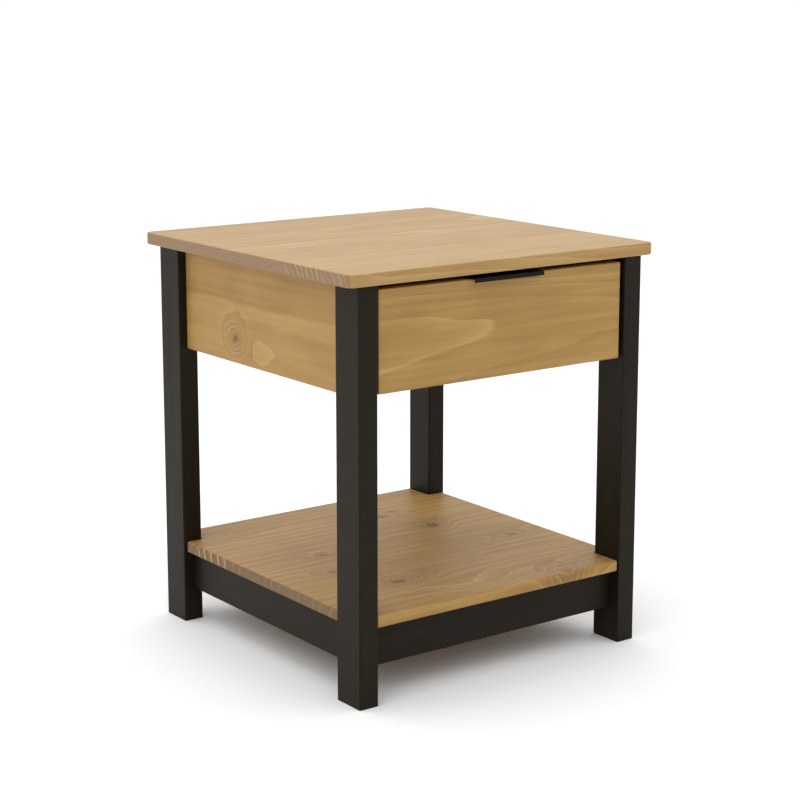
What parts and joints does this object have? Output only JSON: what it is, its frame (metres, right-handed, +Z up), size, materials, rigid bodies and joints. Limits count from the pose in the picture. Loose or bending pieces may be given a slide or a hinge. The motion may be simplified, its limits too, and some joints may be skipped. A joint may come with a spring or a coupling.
{
  "type": "side table with drawer",
  "caption": "Square side table in pine and dark painted wood, with a full-width drawer under the top and a low shelf on rails.",
  "frame": {"origin": "on the floor under the middle of the table top", "axes": "+Z up, the drawer faces -Y, +X to the right of someone facing the back from the drawer side"},
  "size_m": [0.45, 0.45, 0.5],
  "materials": {
    "honey_pine": "satin",
    "black_paint": "satin",
    "drawer_pine": "matte",
    "plywood": "matte",
    "beech": "matte",
    "black_metal": "satin",
    "runner_enamel": "satin",
    "zinc_steel": "satin",
    "white_nylon": "matte"
  },
  "bodies": {
    "table": {"top_panel": "honey_pine", "leg_front_left": "black_paint", "leg_front_right": "black_paint", "leg_back_left": "black_paint", "leg_back_right": "black_paint", "side_apron_left": "honey_pine", "side_apron_right": "honey_pine", "back_apron": "honey_pine", "shelf_rail_front": "black_paint", "shelf_rail_back": "black_paint", "shelf_rail_left": "black_paint", "shelf_rail_right": "black_paint", "shelf_panel": "honey_pine", "apron_dowels": "beech", "rail_dowels": "beech", "top_brackets": "zinc_steel", "top_bracket_screws": "zinc_steel", "shelf_brackets": "zinc_steel", "shelf_bracket_screws": "zinc_steel", "cabinet_runner_left": "runner_enamel", "cabinet_runner_right": "runner_enamel", "cabinet_runner_screws": "zinc_steel", "front_roller_axles": "zinc_steel"},
    "drawer": {"drawer_front": "honey_pine", "drawer_side_left": "drawer_pine", "drawer_side_right": "drawer_pine", "drawer_back": "drawer_pine", "drawer_bottom": "plywood", "drawer_dowels": "beech", "drawer_back_screws": "zinc_steel", "drawer_bottom_screws": "zinc_steel", "drawer_runner_left": "runner_enamel", "drawer_runner_right": "runner_enamel", "drawer_runner_screws": "zinc_steel", "rear_roller_axles": "zinc_steel", "drawer_handle": "black_metal", "drawer_handle_screws": "zinc_steel"},
    "front_roller_l": {"front_roller_left": "white_nylon"},
    "front_roller_r": {"front_roller_right": "white_nylon"},
    "rear_roller_l": {"rear_roller_left": "white_nylon"},
    "rear_roller_r": {"rear_roller_right": "white_nylon"}
  },
  "joints": [
    {"name": "drawer_slide", "type": "slide", "parent": "table", "child": "drawer", "axis": [0, -1, 0], "range_m": [0, 0.26]},
    {"name": "front_roller_left_spin", "type": "hinge", "parent": "table", "child": "front_roller_l", "pos_m": [-0.17755, -0.184, 0.3787], "axis": [1, 0, 0], "range_deg": [0, 2130]},
    {"name": "front_roller_right_spin", "type": "hinge", "parent": "table", "child": "front_roller_r", "pos_m": [0.17755, -0.184, 0.3787], "axis": [1, 0, 0], "range_deg": [0, 2130]},
    {"name": "rear_roller_left_spin", "type": "hinge", "parent": "drawer", "child": "rear_roller_l", "pos_m": [-0.17755, 0.139, 0.3785], "axis": [1, 0, 0], "range_deg": [0, 2130]},
    {"name": "rear_roller_right_spin", "type": "hinge", "parent": "drawer", "child": "rear_roller_r", "pos_m": [0.17755, 0.139, 0.3785], "axis": [1, 0, 0], "range_deg": [0, 2130]}
  ],
  "couplings": [
    {"joint": "front_roller_left_spin", "follows": "drawer_slide", "rad_per_m": 142.86},
    {"joint": "front_roller_right_spin", "follows": "drawer_slide", "rad_per_m": 142.86},
    {"joint": "rear_roller_left_spin", "follows": "drawer_slide", "rad_per_m": 142.86},
    {"joint": "rear_roller_right_spin", "follows": "drawer_slide", "rad_per_m": 142.86}
  ]
}
